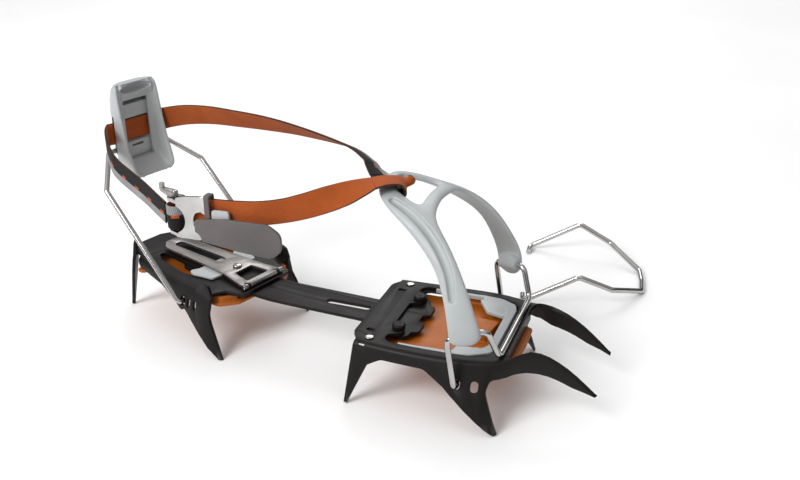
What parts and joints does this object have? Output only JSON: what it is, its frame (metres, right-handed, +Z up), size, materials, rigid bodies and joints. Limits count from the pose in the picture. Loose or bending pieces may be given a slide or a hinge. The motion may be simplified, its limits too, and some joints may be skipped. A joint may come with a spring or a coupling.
{
  "type": "crampon",
  "caption": "Strap-on steel crampon for a mountaineering boot: front and heel spike plates, linking bar, toe and heel bails, strap with buckle, spare wire bail.",
  "frame": {"origin": "centre of the bounding box, on the plane the points stand on", "axes": "+X towards the toe along the front section, +Y towards the wearer's left, +Z up; the heel section is turned 17 degrees about Z"},
  "size_m": [0.3972, 0.298, 0.176],
  "materials": {
    "black_steel": "satin black-brown paint",
    "polished_steel": "polished",
    "satin_steel": "satin, lightly brushed",
    "grey_plastic": "moulded, satin",
    "orange_plastic": "moulded, slightly translucent",
    "webbing": "woven webbing",
    "tab_rubber": "moulded, matt"
  },
  "bodies": {
    "front": {"front_plate": "black_steel", "front_antisnow": "orange_plastic", "toe_pad": "grey_plastic", "front_rivet_left": "polished_steel", "front_rivet_right": "polished_steel", "linking_bar": "black_steel", "bar_collar_left": "black_steel", "bar_collar_right": "black_steel"},
    "toe_bail": {"toe_wire": "polished_steel", "toe_harness": "grey_plastic", "strap_fold": "webbing"},
    "heel": {"heel_plate": "black_steel", "heel_antisnow": "orange_plastic", "heel_pad": "grey_plastic", "heel_rivet_left": "polished_steel", "heel_rivet_right": "polished_steel", "lever_pivot_pin": "polished_steel", "buckle_frame": "polished_steel", "buckle_pin": "polished_steel", "strap_loop": "webbing", "strap_keeper": "tab_rubber", "tail_clip": "grey_plastic", "strap_tail": "tab_rubber", "strap_near": "webbing", "strap_rear": "webbing", "strap_far": "webbing"},
    "length_lever": {"length_lever": "satin_steel", "index_peg": "polished_steel"},
    "heel_bail": {"heel_bail": "polished_steel"},
    "heel_slider": {"heel_slider": "grey_plastic", "strap_in_lever": "webbing"},
    "heel_lever": {"heel_lever": "grey_plastic"},
    "buckle_lever": {"buckle_lever": "polished_steel"},
    "spare_bail": {"spare_bail": "polished_steel"}
  },
  "joints": [
    {"name": "length_slide", "type": "slide", "parent": "front", "child": "heel", "axis": [0.9563, -0.2924, 0], "range_m": [-0.03, 0.018], "deforming": ["strap_far", "strap_near"]},
    {"name": "length_lever_tilt", "type": "hinge", "parent": "heel", "child": "length_lever", "pos_m": [-0.06246, -0.07918, 0.0478], "axis": [0.2924, 0.9563, 0], "range_deg": [0, 22]},
    {"name": "toe_bail_tilt", "type": "hinge", "parent": "front", "child": "toe_bail", "pos_m": [0.1071, -0.0862, 0.03164], "axis": [0, -1, 0], "range_deg": [0, 40], "deforming": ["strap_far", "strap_near"]},
    {"name": "heel_bail_tilt", "type": "hinge", "parent": "heel", "child": "heel_bail", "pos_m": [-0.10071, -0.06748, 0.03453], "axis": [0.2924, 0.9563, 0], "range_deg": [-40, 30], "deforming": ["strap_far", "strap_rear"]},
    {"name": "heel_lever_tilt", "type": "hinge", "parent": "heel_bail", "child": "heel_slider", "pos_m": [-0.18946, -0.04035, 0.1245], "axis": [0.2924, 0.9563, 0], "range_deg": [-70, 20], "deforming": ["strap_far", "strap_rear"]},
    {"name": "heel_height_slide", "type": "slide", "parent": "heel_slider", "child": "heel_lever", "axis": [0, 0, 1], "range_m": [-0.0025, 0.0038]},
    {"name": "buckle_lever_turn", "type": "hinge", "parent": "heel", "child": "buckle_lever", "pos_m": [-0.0944, -0.1327, 0.1317], "axis": [0, 0, 1], "range_deg": [0, 80]},
    {"name": "spare_bail_lift", "type": "slide", "parent": "front", "child": "spare_bail", "axis": [0, 0, 1], "range_m": [0, 0.05]}
  ]
}
